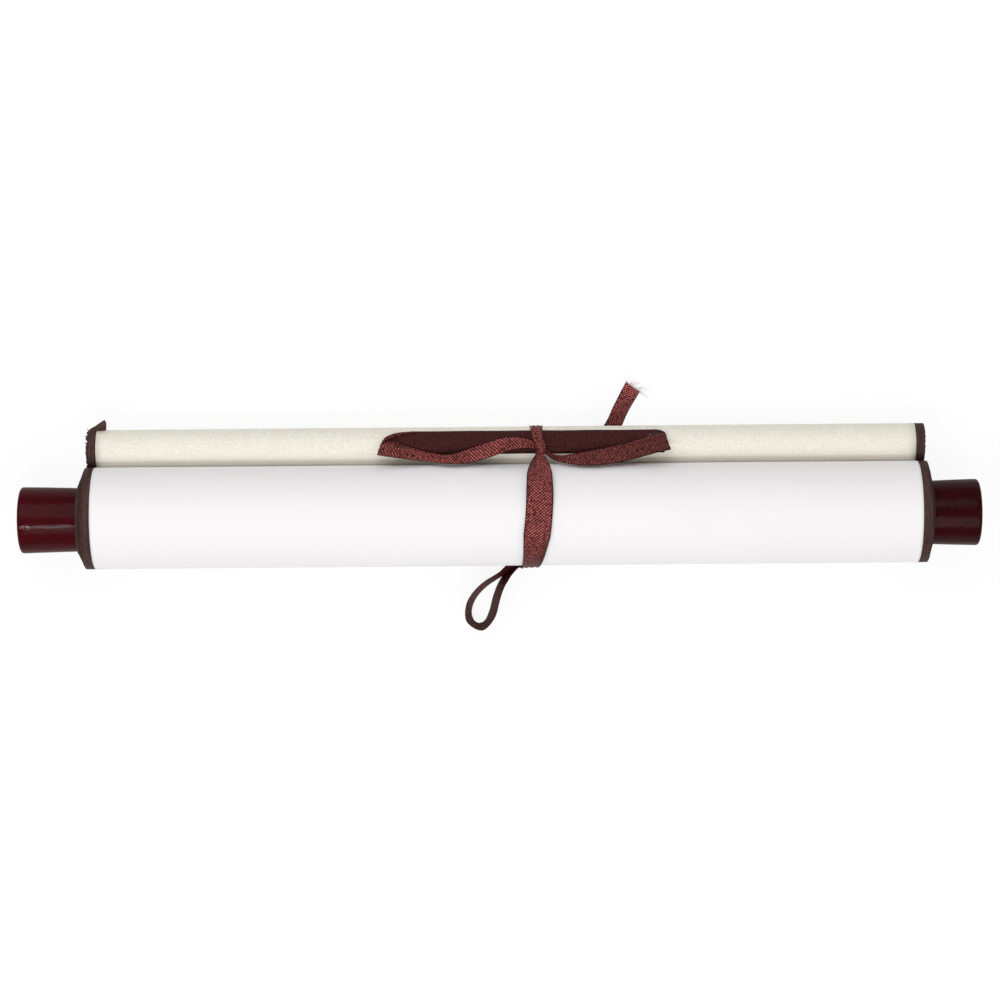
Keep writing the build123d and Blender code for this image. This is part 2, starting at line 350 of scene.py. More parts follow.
def lacquer_material():
    """Dark red lacquer with fine orange peel; the colour is darker towards the right knob than the left, in
    cloudy patches.
    """
    n = Nodes("red_lacquer")
    base = tuple(colours().lacquer)
    clouds = n.noise(n.place((40, 120, 120)), 1.3, 4.0)
    leftward = n.math("MULTIPLY", (n.split("Object"), "X"), -1.6)
    lighter_to_left = n.math("ADD", leftward, n.math("MULTIPLY", clouds, 0.9), clamp=True)
    n.colour(n.mix(lighter_to_left, shade(base, 0.35), shade(base, 1.25)))
    peel = n.noise(n.place((1300, 1300, 1300)), 1.0, 2.0, 0.5)
    broad = n.noise(n.place((260, 260, 260)), 1.0, 1.0)
    n.bump(n.math("ADD", peel, n.math("MULTIPLY", broad, 0.8)), 0.00009, 0.8, ("Coat Normal", "Normal"))
    return n.finish(
        Roughness=0.25,
        Coat_Weight=0.5,
        Coat_Roughness=0.03,
        Coat_IOR=1.24,
        Specular_IOR_Level=0.0,
    )


def wood_material():
    n = Nodes("bare_wood")
    base = tuple(colours().wood)
    grain = n.noise(n.place((14, 260, 260)), 1.0, 5.0, 0.6)
    n.colour(n.mix(grain, shade(base, 0.7), shade(base, 1.3)))
    n.bump(grain, 0.0001, 0.4)
    return n.finish(Roughness=0.7)


def ribbon_material():
    """Twill: dotted diagonal ribs between dark selvedges, with painted shade and painted highlight from the
    tone attribute.
    """
    n = Nodes("wine_ribbon")
    base, light = tuple(colours().ribbon), tuple(colours().ribbon_light)
    split = n.split("UV")
    offset, along = (split, "X"), (split, "Y")
    across = (n.add("ShaderNodeAttribute", attribute_name="across"), "Fac")
    # The tone attribute is painted light: below 1 for painted shade, above 1 for painted highlight. It scales
    # the lighter threads and the valley colour.
    shown = (n.add("ShaderNodeAttribute", attribute_name="tone"), "Fac")
    side = n.math("ABSOLUTE", n.math("SUBTRACT", across, 0.5))
    lean = n.math("MULTIPLY", offset, 4700.0)
    run = n.math("MULTIPLY", along, 5300.0)
    rib = n.math("SINE", n.math("ADD", run, lean))
    weft = n.math("SINE", n.math("SUBTRACT", run, n.math("MULTIPLY", lean, 1.1)))
    dots = n.math("ADD", n.math("MULTIPLY", rib, 0.50), n.math("MULTIPLY", weft, 0.40))
    dots = n.math("POWER", n.math("ADD", dots, 0.42, clamp=True), 1.4)
    worn = n.noise(n.place((300, 150, 1), uv=True), 1.0, 3.0)
    threads = n.noise(n.place((2600, 2200, 1), uv=True), 1.0, 2.0)
    # Painted highlights: random bright glints standing in for light catching the twill, added to the wear.
    bright = n.noise(n.place((900, 1000, 1), uv=True), 1.0, 1.0)
    glints = n.math("MULTIPLY", n.math("SUBTRACT", bright, 0.5), 3.0)
    wear_and_glints = n.math("ADD", n.math("MULTIPLY", worn, 0.9), n.math("MULTIPLY", threads, 0.5))
    wear_and_glints = n.math("ADD", wear_and_glints, glints)
    tone = n.math("MULTIPLY", n.math("MULTIPLY", dots, wear_and_glints), shown, clamp=True)
    valley = n.mix(shown, shade(base, 0.24), shade(base, 0.30))
    selvedge = n.math("GREATER_THAN", side, 0.462)
    n.colour(n.mix(selvedge, n.mix(tone, valley, light), shade(base, 0.16)))
    n.bump(n.math("ADD", dots, n.math("MULTIPLY", threads, 0.6)), 0.00012, 0.9)
    n.rough(n.math("SUBTRACT", 0.52, n.math("MULTIPLY", dots, 0.16)))
    return n.finish(Specular_IOR_Level=0.12)


def thread_material():
    n = Nodes("frayed_thread")
    base = tuple(colours().thread)
    fuzz = n.noise(n.place((900, 900, 900)), 1.0, 2.0)
    n.colour(n.mix(fuzz, shade(base, 0.8), shade(base, 1.2)))
    return n.finish(Roughness=0.6, Sheen_Weight=0.3)


def material(name):
    makers = {
        "paper_backing": paper_material,
        "silk_brocade": silk_material,
        "brown_edging": edging_material,
        "red_lacquer": lacquer_material,
        "bare_wood": wood_material,
        "wine_ribbon": ribbon_material,
        "frayed_thread": thread_material,
    }
    return bpy.data.materials.get(name + FINISH) or makers[name]()


# ---------------------------------------------------------------- mesh helpers


def make_piece(name, points, faces, slot, node=None, uvs=None):
    """A finished mesh object in metres, riding on the one body of the scroll."""
    mesh = bpy.data.meshes.new(name)
    mesh.from_pydata([tuple(map(float, p)) for p in points], [], faces)
    if uvs is not None:
        layer = mesh.uv_layers.new(name="UVMap")
        for loop in mesh.loops:
            layer.data[loop.index].uv = uvs[loop.vertex_index]
    mesh.validate()
    mesh.polygons.foreach_set("use_smooth", [True] * len(mesh.polygons))
    piece = bpy.data.objects.new(name, mesh)
    bpy.context.scene.collection.objects.link(piece)
    mesh.materials.append(material(slot))
    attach(piece, "root")
    if node:
        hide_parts(node)
    return piece


def outward(piece, merge=0.0):
    """Turns every face outwards, after merging points that lie closer than the given gap."""
    mesh = bmesh.new()
    mesh.from_mesh(piece.data)
    if merge:
        bmesh.ops.remove_doubles(mesh, verts=mesh.verts, dist=merge)
    bmesh.ops.recalc_face_normals(mesh, faces=mesh.faces)
    mesh.to_mesh(piece.data)
    mesh.free()
    return piece


def lathe_faces(rings, around, start=0):
    """Faces between rings of points, each ring closed on itself."""
    faces = []
    for ring in range(rings - 1):
        a = start + ring * around
        b = a + around
        for k in range(around):
            j = (k + 1) % around
            faces.append((a + k, a + j, b + j, b + k))
    return faces


def strip_faces(along, across):
    """Faces of a thin closed strip: each cross-section is an upper and a lower row of points."""
    faces = []
    ring = 2 * across
    for i in range(along - 1):
        a, b = i * ring, (i + 1) * ring
        for k in range(across - 1):
            faces.append((a + k, b + k, b + k + 1, a + k + 1))
            faces.append((a + across + k + 1, b + across + k + 1, b + across + k, a + across + k))
        faces.append((a, a + across, b + across, b))
        faces.append((a + across - 1, b + across - 1, b + ring - 1, a + ring - 1))
    for a in (0, (along - 1) * ring):
        for k in range(across - 1):
            faces.append((a + k, a + k + 1, a + across + k + 1, a + across + k))
    return faces


def roll_height():
    s = sizes()
    return math.sqrt(s.roll_radius**2 - (s.rest_width / 2) ** 2)


def stave_centre():
    """The middle of the stave's flat back, in (y, z)."""
    s = sizes()
    reach = s.roll_radius - s.sheet_thickness + s.stave_radius + s.silk_thickness
    return math.sqrt(reach**2 - (roll_height() - s.stave_height) ** 2), s.stave_height


def contact_angle():
    """How far under the roll's middle height the stave touches it."""
    y, z = stave_centre()
    return math.atan2(roll_height() - z, y)


def winding(inset, steps=34):
    """One face of the wound sheet from the outside in: rows of y, z and depth from 0 to 1."""
    s = sizes()
    centre, radius = 0.0, s.roll_radius - inset
    press = s.roll_radius - roll_height()
    start = -contact_angle() - START_ARC
    axis = roll_height()
    rows = []
    for half in range(s.half_turns + 1):
        low = half % 2 == 0
        for step in range(steps):
            share = step / steps
            if low:
                angle = start + (-math.pi - start) * share
            else:
                angle = math.pi * (1 - share)
            y, z = centre + radius * math.cos(angle), radius * math.sin(angle)
            if low:
                z = max(z, press - radius)
            depth = s.roll_radius - inset - radius + share * s.turn_pitch / 2
            rows.append((y, axis + z, depth / (s.roll_radius - s.rod_radius)))
        growth = s.turn_pitch / 2 + (s.drift if low else -s.drift) / s.half_turns
        centre += -growth if low else growth
        radius -= growth
        if low:
            press = max(0.0, press - 0.7 * (s.turn_pitch - s.sheet_thickness))
            start = 0.0
    return rows


def band(outer, inner, edges):
    """Points and faces of a closed band: two matching section lines along the x of edges.

    edges is a list of functions that give x from a row's (y, z, depth) and its index."""
    count = len(outer)
    points, faces = [], []
    for edge in edges:
        for line in (outer, inner):
            points += [(edge(row, i), row[0], row[1]) for i, row in enumerate(line)]
    ring = 2 * count

    def at(k, side, i):
        return k * ring + side * count + i

    last = len(edges) - 1
    for k in range(last):
        for i in range(count - 1):
            faces.append((at(k, 0, i), at(k, 0, i + 1), at(k + 1, 0, i + 1), at(k + 1, 0, i)))
            faces.append((at(k, 1, i + 1), at(k, 1, i), at(k + 1, 1, i), at(k + 1, 1, i + 1)))
        for i in (0, count - 1):
            faces.append((at(k, 0, i), at(k + 1, 0, i), at(k + 1, 1, i), at(k, 1, i)))
    for k in (0, last):
        for i in range(count - 1):
            faces.append((at(k, 0, i), at(k, 1, i), at(k, 1, i + 1), at(k, 0, i + 1)))
    return points, faces


def slide(row, reach):
    """How far a turn slides out at its depth, with a little unevenness from turn to turn."""
    depth = row[2]
    wobble = noise.noise(Vector((depth * 9.0, reach * 900.0, 3.0))) * 0.22 * MM
    return reach * depth + wobble * min(1.0, depth * 4)


def mount_ends():
    low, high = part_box("left_edge_strip"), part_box("right_edge_strip")
    s = sizes()
    return low[0][0] + s.left_slide, high[1][0] - s.right_slide


def stave_outline(radius, corner, steps=48):
    """A half-round outline with a flat back in (y, z), anticlockwise from the +Y corner."""
    y, z = stave_centre()
    flat = radius - corner

    def arc(middle, bend, angles):
        return [(middle + bend * math.cos(a), z + bend * math.sin(a)) for a in angles]

    line = arc(y, radius, np.linspace(0, math.pi, steps))
    if corner > 0:
        line += arc(y - flat, corner, np.linspace(math.pi, 1.5 * math.pi, 6)[1:])
        line += [(y - flat + 2 * flat * t, z - corner) for t in np.linspace(0, 1, 12)[1:-1]]
        line += arc(y + flat, corner, np.linspace(1.5 * math.pi, 2 * math.pi, 6)[:-1])
    else:
        line += [(y - flat + 2 * flat * t, z) for t in np.linspace(0, 1, 22)[1:-1]]
    return line


def tube_wrap(outline, inner, xs, jitter=None, closed_end=None):
    """A closed skin between an outer and an inner outline, along the given x stations."""
    count = len(outline)
    points, faces = [], []
    for k, x in enumerate(xs):
        for line in (outline, inner):
            for i, (y, z) in enumerate(line):
                shift = jitter(k, i, y, z) if jitter else (0, 0, 0)
                points.append((x + shift[0], y + shift[1], z + shift[2]))
    ring = 2 * count
    for k in range(len(xs) - 1):
        for i in range(count):
            j = (i + 1) % count
            a, b = k * ring, (k + 1) * ring
            faces.append((a + i, a + j, b + j, b + i))
            faces.append((a + count + j, a + count + i, b + count + i, b + count + j))
    for k in (0, len(xs) - 1):
        a = k * ring
        for i in range(count):
            j = (i + 1) % count
            faces.append((a + i, a + count + i, a + count + j, a + j))
    if closed_end is not None:
        a = closed_end * ring
        faces.append([a + count + i for i in range(count)])
    return points, faces


# ---------------------------------------------------------------- the wound sheet


class SCROLL_OT_sheet(bpy.types.Operator):
    """Winds the paper sheet with its brown edge strips"""

    bl_idname = "scroll.sheet"
    bl_label = "Wound sheet"

    def execute(self, context):
        s = sizes()
        outer, inner = winding(0), winding(s.sheet_thickness)
        left, right = mount_ends()
        shares = np.concatenate([[0.0, 0.004], np.linspace(0.02, 0.98, 17), [0.996, 1.0]])

        def station(share):
            def x(row, i):
                a = left + s.strip_width - slide(row, s.left_slide)
                b = right - s.strip_width + slide(row, s.right_slide)
                return a + (b - a) * share
            return x

        points, faces = band(outer, inner, [station(t) for t in shares])
        count = len(outer)
        seen_rows = 160
        for index, (x, y, z) in enumerate(points):
            if index % count < seen_rows:
                swell = noise.noise(Vector((x * 22, y * 30, z * 30))) * 0.10 * MM * min(1.0, z / 0.006)
                away = Vector((0, y, z - roll_height())).normalized()
                points[index] = (x, y + away.y * swell, z + away.z * swell)
        outward(make_piece("rolled_sheet_paper", points, faces, "paper_backing", "rolled_sheet"))
        for name, near, far, reach, inside in (
            ("left_edging", left, left + s.strip_width, -s.left_slide, 1),
            ("right_edging", right - s.strip_width, right, s.right_slide, 0),
        ):
            def edge(base, share):
                def x(row, i):
                    ragged = noise.noise(Vector((i * 0.35, base * 40, 7.0))) * 0.07 * MM
                    return base + math.copysign(slide(row, abs(reach)), reach) + ragged * (share != inside)
                return x
            points, faces = band(outer, inner, [edge(near, 0), edge(far, 1)])
            outward(make_piece(name, points, faces, "brown_edging"))
        return {"FINISHED"}


class SCROLL_OT_stave(bpy.types.Operator):
    """Covers the stave in silk, with edging folded over each end"""

    bl_idname = "scroll.stave"
    bl_label = "Stave and silk"

    def execute(self, context):
        s = sizes()
        left, right = mount_ends()
        skin = s.stave_radius + s.silk_thickness
        outline, inner = stave_outline(skin, s.silk_thickness), stave_outline(s.stave_radius, 0.0)

        def pucker(k, i, y, z):
            size = 0.12 * MM * noise.noise(Vector((k * 0.55, y * 160, z * 160)))
            return (0, size * 0.4, size)

        stations = np.linspace(left + s.strip_width, right - s.strip_width, 90)
        points, faces = tube_wrap(outline, inner, stations, pucker)
        outward(make_piece("stave_silk", points, faces, "silk_brocade", "top_brocade"))
        self.tail(left, right)
        self.ends(outline, inner, left, right)
        return {"FINISHED"}

    def tail(self, left, right):
        """The start of the sheet, from the stave down onto the roll."""
        s = sizes()
        angles = np.linspace(-contact_angle(), -contact_angle() - START_ARC, 12)
        lines = []
        for radius in (s.roll_radius, s.roll_radius - s.sheet_thickness):
            lines.append([(radius * math.cos(a), roll_height() + radius * math.sin(a), 0.0) for a in angles])
        ends = (left + s.strip_width, right - s.strip_width)
        points, faces = band(lines[0], lines[1], [lambda row, i: ends[0], lambda row, i: ends[1]])
        outward(make_piece("sheet_start", points, faces, "paper_backing"))
        for name, a, b in (("left_edging_start", left, ends[0]), ("right_edging_start", ends[1], right)):
            points, faces = band(lines[0], lines[1], [lambda row, i, x=a: x, lambda row, i, x=b: x])
            outward(make_piece(name, points, faces, "brown_edging"))

    def ends(self, outline, inner, left, right):
        s = sizes()
        for name, near, far, node, torn in (
            ("left_stave_edging", left, left + s.strip_width, "left_edge_strip", 1.1),
            ("right_stave_edging", right - s.strip_width, right, "right_edge_strip", 0.4),
        ):
            stations = np.linspace(near, far, 9)
            outer_end = 0 if name.startswith("left") else 8

            def ragged(k, i, y, z, torn=torn, outer_end=outer_end):
                near_end = max(0.0, 1 - abs(k - outer_end) / 2.5)
                rough = noise.noise(Vector((i * 0.9, outer_end + 0.4, 2.6))) * torn * MM * near_end
                lift = noise.noise(Vector((k * 0.8, y * 300, z * 300))) * 0.10 * MM
                return (rough, lift * 0.3, lift + 0.06 * MM)

            points, faces = tube_wrap(outline, inner, stations, ragged, outer_end)
            outward(make_piece(name, points, faces, "brown_edging", node))
        self.folded_corner(left)
        y, z = stave_centre()
        skin = s.stave_radius + s.silk_thickness
        edge = []
        for angle in np.linspace(0.15, math.pi - 0.1, 14):
            edge.append((left + 0.15 * MM, y + skin * math.cos(angle), z + skin * math.sin(angle)))
        loose_threads(
            "left_frays",
            edge,
            "brown_edging",
            "brown_edging",
            Count=9,
            Length=0.0009,
            Radius=0.00016,
            Seed=9,
            Turn=3.1416,
        )

    def folded_corner(self, left):
        """The loose corner of the left edging, folded up past the stave's outer side."""
        s = sizes()
        y, z = stave_centre()
        top = y + s.stave_radius + s.silk_thickness
        outline = [
            (left + 0.2 * MM, top - 1.6 * MM, z + 3.2 * MM),
            (left + 0.9 * MM, top + 0.5 * MM, z + 2.2 * MM),
            (left + 2.9 * MM, top + 1.5 * MM, z + 2.6 * MM),
            (left + 4.6 * MM, top + 2.6 * MM, z + 3.4 * MM),
            (left + 6.6 * MM, top + 3.8 * MM, z + 4.4 * MM),
            (left + 7.2 * MM, top + 2.7 * MM, z + 4.0 * MM),
            (left + 6.9 * MM, top + 0.0 * MM, z + 1.6 * MM),
            (left + 4.0 * MM, top - 0.9 * MM, z + 1.9 * MM),
            (left + 1.4 * MM, top - 1.9 * MM, z + 3.0 * MM),
        ]
        centre = [sum(p[k] for p in outline) / len(outline) for k in range(3)]
        points = []
        rings = 5
        half_thickness = 0.16 * MM
        for side in (1, -1):
            for ring in range(rings):
                share = ring / (rings - 1)
                for p in outline:
                    q = [centre[k] + (p[k] - centre[k]) * share for k in range(3)]
                    ripple = noise.noise(Vector((q[0] * 400, q[1] * 400, 0))) * 0.25 * MM
                    points.append((q[0], q[1], q[2] + ripple + side * half_thickness))
        count = len(outline)
        faces = lathe_faces(rings, count) + lathe_faces(rings, count, rings * count)
        a, b = (rings - 1) * count, (2 * rings - 1) * count
        for i in range(count):
            j = (i + 1) % count
            faces.append((a + i, a + j, b + j, b + i))
        outward(make_piece("folded_corner", points, faces, "brown_edging"), 1e-6)


class SCROLL_OT_knobs(bpy.types.Operator):
    """Turns the two lacquered knobs and finishes the hidden roller and stave"""

    bl_idname = "scroll.knobs"
    bl_label = "Knobs"

    def execute(self, context):
        for node, side in (("left_knob", -1), ("right_knob", 1)):
            low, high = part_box(node)
            centre_y, centre_z = (low[1] + high[1]) / 2, (low[2] + high[2]) / 2
            outer_radius = (high[2] - low[2]) / 2 + 0.03 * MM
            root, tip = (high[0], low[0]) if side < 0 else (low[0], high[0])
            self.knob(node, root, tip, outer_radius, centre_y, centre_z, side)
        for node in ("roller_rod", "top_stave"):
            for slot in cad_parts[node].material_slots:
                slot.material = material("bare_wood")
        return {"FINISHED"}

    def knob(self, node, root, tip, radius, centre_y, centre_z, side):
        rim = sizes().knob_rim
        length = abs(tip - root)
        neck = radius - 0.65 * MM
        profile = [(0.0, 0.0), (0.0, neck * 0.5), (0.0, neck)]
        for share in np.linspace(0.04, 1, 14):
            profile.append((share * (length - rim), neck + (radius - neck) * share**0.8))
        for angle in np.linspace(0, math.pi / 2, 9)[1:]:
            profile.append((length - rim + rim * math.sin(angle), radius - rim + rim * math.cos(angle)))
        for share in (0.8, 0.55, 0.3, 0.1, 0.0):
            profile.append((length, (radius - rim) * share))
        around = 96
        points = []
        for along, r in profile:
            for k in range(around):
                angle = 2 * math.pi * k / around
                y, z = r * math.cos(angle), r * math.sin(angle)
                dent = noise.noise(Vector((along * 120, y * 120, z * 120 + side))) * 0.05 * MM
                grow = 1 + dent * (r > neck * 0.6) / max(r, 1e-4)
                points.append((root + side * along, centre_y + y * grow, centre_z + z * grow))
        faces = lathe_faces(len(profile), around)
        outward(make_piece(node + "_lacquer", points, faces, "red_lacquer", node), 1e-7)


# ---------------------------------------------------------------- the ribbon


def smooth_line(points, resolution=10):
    """The smooth line of a route: a NURBS spline with the route's points as its controls."""
    curve = bpy.data.curves.new("route", "CURVE")
    curve.dimensions = "3D"
    curve.resolution_u = resolution
    spline = curve.splines.new("NURBS")
    spline.points.add(len(points) - 1)
    for point, place in zip(spline.points, points):
        point.co = (*place, 1)
    spline.order_u = 3
    spline.use_endpoint_u = True
    holder = bpy.data.objects.new("route", curve)
    bpy.context.scene.collection.objects.link(holder)
    graph = bpy.context.evaluated_depsgraph_get()
    mesh = bpy.data.meshes.new_from_object(holder.evaluated_get(graph))
    line = [v.co.copy() for v in mesh.vertices]
    bpy.data.objects.remove(holder)
    bpy.data.curves.remove(curve)
    bpy.data.meshes.remove(mesh)
    return line


def spread(values, count):
    """Values given at the route's points, read along its smooth line."""
    spans = len(values) - 2
    places = [min(max(i - 0.5, 0.0), spans) for i in range(len(values))]
    wanted = np.linspace(0, spans, count)
    table = np.array(values, float)
    if table.ndim == 1:
        return np.interp(wanted, places, table)
    return np.stack([np.interp(wanted, places, table[:, k]) for k in range(table.shape[1])], axis=1)


def line_length(line):
    return sum((b - a).length for a, b in zip(line, line[1:]))


def ribbon_strip(name, line, widths, sideways, tones, cup=0.0, square=True, weave=1.0, fold_shade=None, node=None):
    """A flat woven strip along a line: its width, and the direction the width lies in."""
    across = 9
    thickness = sizes().ribbon_thickness
    points, uvs, shown, rims = [], [], [], []
    travelled = 0.0
    for i, place in enumerate(line):
        before, after = line[max(i - 1, 0)], line[min(i + 1, len(line) - 1)]
        tangent = (after - before).normalized()
        side = Vector(sideways[i])
        if square:
            side = (side - tangent * side.dot(tangent)).normalized()
        normal = tangent.cross(side).normalized()
        if i:
            travelled += (place - line[i - 1]).length
        for face in (1, -1):
            for k in range(across):
                t = k / (across - 1)
                offset = (t - 0.5) * widths[i]
                bend = cup * (abs(t - 0.5) * 2) ** 2 * widths[i]
                fold = (1 - widths[i] / RIBBON_WIDTH) * 0.10 * widths[i] * math.cos(t * 6 * math.pi)
                edge = 0.35 if k in (0, across - 1) else 1.0
                lift = face * thickness / 2 * edge + fold - bend
                point = place + side * offset + normal * lift
                point.z = max(point.z, thickness / 2 * (1 + face * edge) + 0.02 * MM)
                points.append(point)
                uvs.append((offset * weave, travelled))
                rims.append(t)
                # The underside is painted at half the tone, as painted shade.
                tone = tones[i] * (1.0 if face > 0 else 0.5)
                shown.append(tone * (fold_shade(place, t) if fold_shade else 1.0))
    return woven(name, points, strip_faces(len(line), across), uvs, shown, rims, node)


def woven(name, points, faces, uvs, shown, rims, node=None, merge=0.0):
    """A piece of ribbon, with each point's tone, its painted light and shade, and its place across it for the
    material to read.
    """
    piece = make_piece(name, points, faces, "wine_ribbon", node, uvs)
    for layer_name, values in (("tone", shown), ("across", rims)):
        layer = piece.data.attributes.new(layer_name, "FLOAT", "POINT")
        layer.data.foreach_set("value", [float(v) for v in values])
    return outward(piece, merge)


def clear_height(y, z, gap):
    """How far up a point has to go to lie clear of the roll and of the stave."""
    s = sizes()
    rise = 0.0
    stave_y, stave_z = stave_centre()
    for cy, cz, radius in (
        (0.0, roll_height(), s.roll_radius + gap),
        (stave_y, stave_z, s.stave_radius + s.silk_thickness + gap),
    ):
        if abs(y - cy) < radius:
            rise = max(rise, cz + math.sqrt(radius**2 - (y - cy) ** 2) - z)
    return rise


def bow_strand(name, rows, tones):
    """A flattened loop of the bow, laid on the stave and against the side of the roll."""
    centres, sideways, widths = [], [], []
    for x, y, width, layer, skew in rows:
        real = max(width, min(9.6, width * 1.35))
        lean = math.acos(min(1.0, width / real))
        half = real / 2 * MM
        z = 0.0
        for share in (-1, -0.6, -0.2, 0.2, 0.6, 1):
            py = y * MM + share * half * math.cos(lean)
            pz = -share * half * math.sin(lean)
            z = max(z, clear_height(py, pz, layer * MM))
        centres.append((x * MM, y * MM, z))
        sideways.append((skew, math.cos(lean), -math.sin(lean)))
        widths.append(real * MM)
    line = smooth_line(centres, 12)
    count = len(line)
    shades = np.interp(np.linspace(0, 1, count), np.linspace(0, 1, len(tones)), tones)
    return ribbon_strip(
        name,
        line,
        spread(widths, count),
        spread(sideways, count),
        shades,
        cup=0.02,
        square=False,
        weave=0.72,
    )


def thread_tree():
    """A fringe of loose threads along an edge, each bent its own way."""
    tree = bpy.data.node_groups.new("loose_threads", "GeometryNodeTree")
    face = tree.interface
    face.new_socket("Geometry", in_out="INPUT", socket_type="NodeSocketGeometry")
    face.new_socket("Geometry", in_out="OUTPUT", socket_type="NodeSocketGeometry")
    for name, default in (("Count", 14), ("Length", 0.0036), ("Radius", 0.00009), ("Seed", 4)):
        kind = "NodeSocketInt" if isinstance(default, int) else "NodeSocketFloat"
        face.new_socket(name, in_out="INPUT", socket_type=kind).default_value = default
    face.new_socket("Turn", in_out="INPUT", socket_type="NodeSocketFloat")
    face.new_socket("Material", in_out="INPUT", socket_type="NodeSocketMaterial")
    nodes = tree.nodes
    start, end = nodes.new("NodeGroupInput"), nodes.new("NodeGroupOutput")
    to_curve = nodes.new("GeometryNodeMeshToCurve")
    resample = nodes.new("GeometryNodeResampleCurve")
    thread = nodes.new("GeometryNodeCurveQuadraticBezier")
    thread.inputs["Resolution"].default_value = 8
    thread.inputs["Start"].default_value = (0, 0, 0)
    middle, tip = nodes.new("ShaderNodeCombineXYZ"), nodes.new("ShaderNodeCombineXYZ")
    half, bend = nodes.new("ShaderNodeMath"), nodes.new("ShaderNodeMath")
    for node, share in ((half, 0.55), (bend, 0.28)):
        node.operation = "MULTIPLY"
        node.inputs[1].default_value = share
    turn = nodes.new("FunctionNodeRandomValue")
    turn.data_type = "FLOAT_VECTOR"
    turn.inputs[0].default_value = (-0.4, -0.65, -0.9)
    turn.inputs[1].default_value = (0.4, -0.02, 0.6)
    scale = nodes.new("FunctionNodeRandomValue")
    scale.inputs[2].default_value = 0.35
    scale.inputs[3].default_value = 1.15
    place = nodes.new("GeometryNodeInstanceOnPoints")
    heading, facing = nodes.new("ShaderNodeCombineXYZ"), nodes.new("ShaderNodeVectorMath")
    realize = nodes.new("GeometryNodeRealizeInstances")
    ring = nodes.new("GeometryNodeCurvePrimitiveCircle")
    ring.inputs["Resolution"].default_value = 5
    to_mesh = nodes.new("GeometryNodeCurveToMesh")
    to_mesh.inputs["Fill Caps"].default_value = True
    finish = nodes.new("GeometryNodeSetMaterial")
    for source, output, target, socket in (
        (start, "Geometry", to_curve, "Mesh"),
        (to_curve, "Curve", resample, "Curve"),
        (start, "Count", resample, "Count"),
        (start, "Length", half, 0),
        (start, "Length", bend, 0),
        (half, 0, middle, "X"),
        (bend, 0, middle, "Z"),
        (start, "Length", tip, "X"),
        (middle, 0, thread, "Middle"),
        (tip, 0, thread, "End"),
        (start, "Seed", turn, "Seed"),
        (start, "Seed", scale, "Seed"),
        (resample, "Curve", place, "Points"),
        (thread, "Curve", place, "Instance"),
        (start, "Turn", heading, "Z"),
        (heading, 0, facing, 0),
        (turn, 0, facing, 1),
        (facing, 0, place, "Rotation"),
        (scale, 1, place, "Scale"),
        (place, "Instances", realize, "Geometry"),
        (start, "Radius", ring, "Radius"),
        (realize, "Geometry", to_mesh, "Curve"),
        (ring, "Curve", to_mesh, "Profile Curve"),
        (to_mesh, "Mesh", finish, "Geometry"),
        (start, "Material", finish, "Material"),
        (finish, "Geometry", end, "Geometry"),
    ):
        tree.links.new(source.outputs[output], target.inputs[socket])
    return tree


def loose_threads(name, edge, slot, finish, **values):
    """Runs the thread tree on an edge of points and keeps the result as a plain mesh."""
    mesh = bpy.data.meshes.new(name + "_edge")
    mesh.from_pydata([tuple(p) for p in edge], [(i, i + 1) for i in range(len(edge) - 1)], [])
    holder = bpy.data.objects.new(name + "_edge", mesh)
    bpy.context.scene.collection.objects.link(holder)
    modifier = holder.modifiers.new("threads", "NODES")
    modifier.node_group = bpy.data.node_groups.get("loose_threads") or thread_tree()
    values["Material"] = material(finish)
    for item in modifier.node_group.interface.items_tree:
        if item.in_out == "INPUT" and item.name in values:
            modifier[item.identifier] = values[item.name]
    graph = bpy.context.evaluated_depsgraph_get()
    result = bpy.data.meshes.new_from_object(holder.evaluated_get(graph))
    bpy.data.objects.remove(holder)
    piece = bpy.data.objects.new(name, result)
    bpy.context.scene.collection.objects.link(piece)
    if not result.materials:
        result.materials.append(material(finish))
    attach(piece, "root")
    return piece


